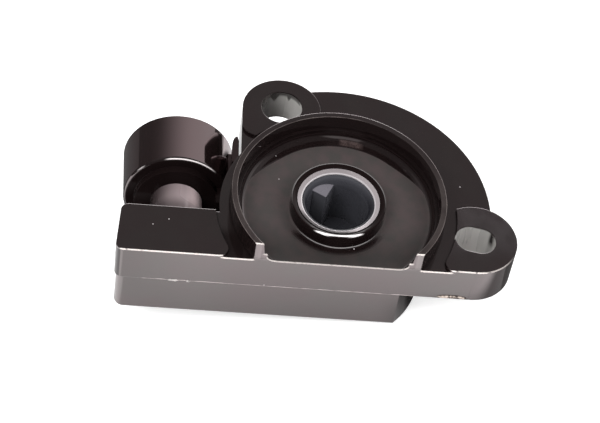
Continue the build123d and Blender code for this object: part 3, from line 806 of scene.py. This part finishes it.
def ring_edge(tree, place):
    """Bright inner edge of the bush, kept as a painted highlight; the rest of its funnel is painted greyer,
    palest on the right, and brown at the near left.
    """
    side, depth = tree.axes(place)[:2]
    funnel = tree.ramp(tree.reach(side, depth), (5.62, 5.74))
    fainter_near = tree.ramp(depth, (-6.0, 6.0), (0.9, 1.0))
    grey = tree.blend(tree.ramp(side, (0.0, 5.5)), *RING_GREY)
    near_left = tree.total(tree.product(side, NEAR_LEFT[0]), tree.product(depth, NEAR_LEFT[1]))
    brown = tree.ramp(near_left, (3.8, 5.2), (0.0, 0.95))
    return tree.product(funnel, fainter_near), tree.blend(brown, grey, RING_BROWN)


def worn_metal(name, bright, dull, roughness, streak, metal=1.0, features=()):
    """Metal with fine streaks, stretched along one way, and a dull bloom in places."""
    material, tree, shader = new_material(name)
    place = tree.object_place()
    lines = tree.noise(tree.stretched(place, streak), scale=900.0, detail=2.0)
    bloom = tree.noise(place, scale=500.0, detail=3.0)
    base = tree.blend(bloom, (*bright, 1), (*dull, 1))
    tree.feed(shader.inputs["Base Color"], painted(tree, place, base, features))
    rough = tree.step(lines, *MIDDLE, roughness - STREAK_SPREAD, roughness + STREAK_SPREAD)
    tree.feed(shader.inputs["Roughness"], rough)
    shader.inputs["Metallic"].default_value = metal
    tree.feed(shader.inputs["Normal"], tree.bump(lines, STREAK_STRENGTH, tree.round_edges(METAL_EDGE)))
    return material


def dress(material, *names):
    """Gives CAD nodes their material."""
    for name in names:
        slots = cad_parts[name].data.materials
        slots.clear()
        slots.append(material)


def start_piece(name):
    """Names the primitive that was just added."""
    piece = bpy.context.object
    piece.name = name
    piece.data.name = name
    return piece


def close_piece(piece, material, body):
    """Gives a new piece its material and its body."""
    piece.data.materials.append(material)
    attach(piece, body)
    bpy.ops.object.select_all(action="DESELECT")


def tang_facing(material):
    """Facing of the drive tang: a wedge from the socket's floor, whose top rises to the socket's flare."""
    bpy.ops.mesh.primitive_circle_add(vertices=len(TANG_TOP), radius=MM, fill_type="NGON")
    piece = start_piece("drive_tang_facing")
    for vertex, place in zip(piece.data.vertices, TANG_TOP):
        vertex.co = Vector(place) * MM
    bpy.ops.object.mode_set(mode="EDIT")
    bpy.ops.mesh.select_all(action="SELECT")
    bpy.ops.mesh.extrude_region_move(TRANSFORM_OT_translate={"value": (0, 0, -TANG_DEEP * MM)})
    bpy.ops.mesh.select_all(action="SELECT")
    bpy.ops.mesh.normals_make_consistent(inside=False)
    bpy.ops.object.mode_set(mode="OBJECT")
    foot = (TANG_FLOOR + TANG_SEAT) * MM
    for vertex in piece.data.vertices:
        if vertex.co.z < -TANG_DEEP * 0.5 * MM:
            vertex.co.z = foot
    bevel = piece.modifiers.new("edges", "BEVEL")
    bevel.width = TANG_EDGE * MM
    bevel.segments = TANG_EDGE_CUTS
    bpy.ops.object.modifier_apply(modifier=bevel.name)
    close_piece(piece, material, "rotor")


def ragged_strip(name, place, size, material, seed):
    """Torn strip of plastic: a bar cut into short lengths, roughened and narrowed at its ends."""
    bpy.ops.mesh.primitive_cube_add(size=MM)
    piece = start_piece(name)
    for vertex in piece.data.vertices:
        vertex.co = Vector(vertex.co[i] * size[i] + place[i] * MM for i in range(3))
    bpy.ops.object.mode_set(mode="EDIT")
    bpy.ops.mesh.select_all(action="SELECT")
    bpy.ops.mesh.subdivide(number_cuts=STRIP_CUTS)
    bpy.ops.transform.vertex_random(offset=STRIP_ROUGH * MM, seed=seed)
    bpy.ops.object.mode_set(mode="OBJECT")
    half = size[0] * 0.5 * MM
    middle = place[1] * MM
    bottom = (place[2] - size[2] * 0.5) * MM
    for vertex in piece.data.vertices:
        out = abs(vertex.co.x - place[0] * MM) / half
        taper = 1.0 - STRIP_TAPER * out ** STRIP_CURVE
        vertex.co.y = middle + (vertex.co.y - middle) * taper
        vertex.co.z = bottom + (vertex.co.z - bottom) * taper
    close_piece(piece, material, "housing")


def floor_light(tree):
    """Light of the floor in what mirrors it: dark behind and on the right, with a few light places."""
    side, depth = tree.axes(tree.object_place())[:2]
    right = tree.product(tree.ramp(side, SHADE_RIGHT, (0.0, SHADE_SIDE)), tree.ramp(depth, SHADE_FRONT))
    left_open = tree.product(tree.ramp(side, LEFT_OPEN, DOWN), tree.ramp(depth, LEFT_REACH, DOWN))
    back = tree.product(tree.ramp(depth, SHADE_BACK), tree.rest(left_open))
    lane = tree.product(tree.ramp(depth, LANE_START), tree.window(side, LANE_SIDES, LANE_SOFT))
    slanted = tree.less(depth, tree.product(side, GLINT_SLOPE))
    glint = tree.product(tree.ramp(slanted, GLINT_START), tree.window(side, GLINT_SIDES, GLINT_SOFT))
    back = tree.less(back, tree.most(lane, glint))
    shade = tree.product(tree.most(right, back), 1.0 - SHADE_LEVEL)
    across = tree.total(tree.ramp(side, LEFT_DIM, LEFT_LEVELS), tree.ramp(side, LEFT_OPEN, (LEFT_GAIN, 0.0)))
    return tree.product(tree.rest(shade), tree.openness(FLOOR_REACH, only_local=False), across)


def grey(level):
    """Grey of a level."""
    return (level, level, level, 1)


def set_floor():
    """White paper, which keeps the object's shade, also in what mirrors it."""
    bpy.ops.mesh.primitive_plane_add(size=FLOOR_SIZE * MM)
    floor = bpy.context.object
    floor.name = "floor"
    for vertex in floor.data.vertices:
        vertex.co.z = FLOOR_LEVEL * MM + FLOOR_SLOPE[0] * vertex.co.x + FLOOR_SLOPE[1] * vertex.co.y
    material, tree, shader = new_material("floor_paper")
    tree.nodes.remove(shader)
    light = floor_light(tree)
    path = tree.node("ShaderNodeLightPath")
    mirror_ray = tree.most(path.outputs["Is Glossy Ray"], path.outputs["Is Transmission Ray"])
    paper = tree.node("ShaderNodeBsdfDiffuse")
    covered = tree.product(mirror_ray, tree.rest(light))
    colour = tree.blend(covered, grey(FLOOR_WHITE), grey(SHADE_LEVEL * FLOOR_WHITE))
    tree.feed(paper.inputs["Color"], colour)
    mirrored = tree.product(mirror_ray, light)
    seen = tree.product(path.outputs["Is Camera Ray"], FLOOR_GLOW)
    glow = tree.node("ShaderNodeEmission")
    tree.feed(glow.inputs["Strength"], tree.total(mirrored, seen))
    both = tree.node("ShaderNodeAddShader")
    tree.feed(both.inputs[0], paper.outputs[0])
    tree.feed(both.inputs[1], glow.outputs[0])
    tree.feed(tree.nodes["Material Output"].inputs["Surface"], both.outputs[0])
    floor.data.materials.append(material)


def set_world():
    """A light tent: bright low behind, dim overhead, a softbox in front; white to the camera."""
    world = bpy.data.worlds.new("studio")
    bpy.context.scene.world = world
    tree = Tree(world)
    way = tree.node("ShaderNodeTexCoord").outputs["Generated"]
    side, depth, height = tree.axes(way)
    azimuth = tree.math("ARCTAN2", side, depth)
    rise = tree.math("ARCSINE", height)

    def turn(value, edges, start, end):
        """Smooth step between two angles in degrees."""
        return tree.step(value, radians(edges[0]), radians(edges[1]), start, end)

    behind = tree.step(depth, *BEHIND)
    mid = tree.product(turn(azimuth, MID_LEFT, *UP), turn(azimuth, MID_RIGHT, 1.0, RIGHT_LEVEL), behind)
    low = tree.product(turn(azimuth, LOW_LEFT, *UP), turn(azimuth, LOW_RIGHT, *DOWN))
    ahead = tree.math("ARCTAN2", tree.math("ABSOLUTE", side), tree.product(depth, -1.0))
    front = tree.product(
        turn(ahead, FRONT_HALF, *DOWN),
        turn(rise, FRONT_RISE[:2], *UP),
        turn(rise, FRONT_RISE[2:], *DOWN),
    )
    tent = tree.total(
        TENT_LEVEL,
        tree.product(turn(rise, GAP_TOP, GAP_LEVEL, 0.0), turn(rise, GAP_FOOT, *UP), behind),
        tree.product(turn(rise, MID_TOP, MID_LEVEL, 0.0), mid),
        tree.product(turn(rise, LOW_TOP, LOW_LEVEL, 0.0), low),
        tree.product(front, FRONT_LEVEL),
    )
    path = tree.node("ShaderNodeLightPath")
    plain = tree.product(path.outputs["Is Diffuse Ray"], PLAIN_LEVEL)
    mirrored = tree.product(path.outputs["Is Glossy Ray"], tent)
    strength = tree.total(plain, mirrored, path.outputs["Is Camera Ray"])
    tree.feed(tree.nodes["Background"].inputs["Color"], grey(1))
    tree.feed(tree.nodes["Background"].inputs["Strength"], strength)


def set_lamps():
    """Two soft lamps, which don't show in reflections."""
    for name, place, size, watts in LAMPS:
        lamp = bpy.data.lights.new(name, "AREA")
        lamp.size = size
        lamp.energy = watts
        light = bpy.data.objects.new(name, lamp)
        light.location = place
        light.rotation_euler = (-Vector(place)).to_track_quat("-Z", "Y").to_euler()
        light.visible_glossy = False
        bpy.context.scene.collection.objects.link(light)


bpy.ops.object.select_all(action="DESELECT")
set_camera()
set_floor()
set_world()
set_lamps()

# What the photograph shows: plate, case, bush and rotor
plate_features = (
    recess_floor,
    ledge_highlight,
    hole_walls,
    notch_faces,
    rim_top_sheen,
    seat_grey_patches,
    rim_edge_highlights,
    front_edge_flash_highlight,
    seam_edge_highlight,
    boss_painted_highlights,
    dust,
)
dress(black_plastic("plate_plastic", plate_features, plate_dull), "mounting_plate")
dress(black_plastic("case_plastic", (neck_painted_light, shoulder_highlight), case_dull, shroud_blush), "sensor_case")
bush_steel = worn_metal(
    "bush_steel",
    bright=(0.80, 0.75, 0.77),
    dull=(0.68, 0.64, 0.66),
    roughness=0.36,
    streak=(1, 1, 12),
    metal=0.5,
    features=(ring_edge,),
)
dress(bush_steel, "bearing_bush")
rotor_plastic = satin_plastic(
    "rotor_plastic",
    dark=(0.046, 0.046, 0.054),
    light=(0.058, 0.058, 0.068),
    roughness=0.3,
    edge=0.15,
    features=(mouth_shade, socket_floor, tang_sides, tang_top_light),
)
dress(rotor_plastic, "rotor")

# New pieces: the tang's facing, and the torn strips, of which the first is browner and spotted
tang_facing(rotor_plastic)
torn_plastic = satin_plastic(
    "torn_plastic",
    dark=(0.40, 0.32, 0.28),
    light=(0.95, 0.83, 0.74),
    roughness=0.6,
    edge=0.03,
    features=(torn_spots,),
    cloud_scale=2400.0,
)
pale_plastic = satin_plastic(
    "pale_plastic",
    dark=(0.50, 0.46, 0.45),
    light=(0.86, 0.82, 0.80),
    roughness=0.6,
    edge=0.03,
    cloud_scale=2400.0,
)
for count, (name, place, size) in enumerate(STRIPS):
    ragged_strip(name, place, size, torn_plastic if count == 0 else pale_plastic, count)

# Pieces inside
for name, dark, light, roughness, edge, nodes in SATIN_PIECES:
    dress(satin_plastic(name, dark, light, roughness, edge), *nodes)
for name, bright, dull, roughness, streak, nodes in METAL_PIECES:
    dress(worn_metal(name, bright, dull, roughness, streak), *nodes)

bpy.context.scene.view_settings.view_transform = "Standard"
